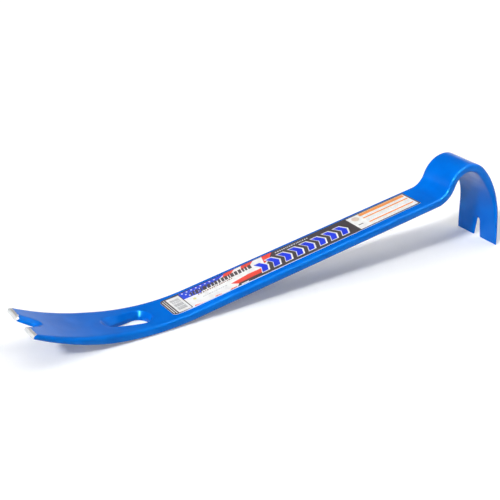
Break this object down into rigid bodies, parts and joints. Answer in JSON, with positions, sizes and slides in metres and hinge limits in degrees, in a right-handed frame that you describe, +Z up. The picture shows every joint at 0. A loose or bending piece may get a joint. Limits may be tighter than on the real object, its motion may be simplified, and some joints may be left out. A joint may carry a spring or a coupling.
{
  "type": "pry bar",
  "caption": "Flat steel pry bar with a curved claw at one end, a gooseneck hook with a second claw at the other, and a teardrop nail hole.",
  "frame": {"origin": "on the surface the bar lies on, below the middle of its bounding box", "axes": "+X along the bar from the curved claw to the gooseneck hook, +Y across it, +Z up as it lies at rest on the claw's belly and the hook's tips"},
  "size_m": [0.5432, 0.0602, 0.0994],
  "materials": {
    "blue_enamel": "gloss enamel, worn to bare ground steel at the claw's cutting edges",
    "label_film": "printed self-adhesive film, satin"
  },
  "bodies": {
    "root": {"bar": "blue_enamel", "label": "label_film"}
  },
  "joints": []
}
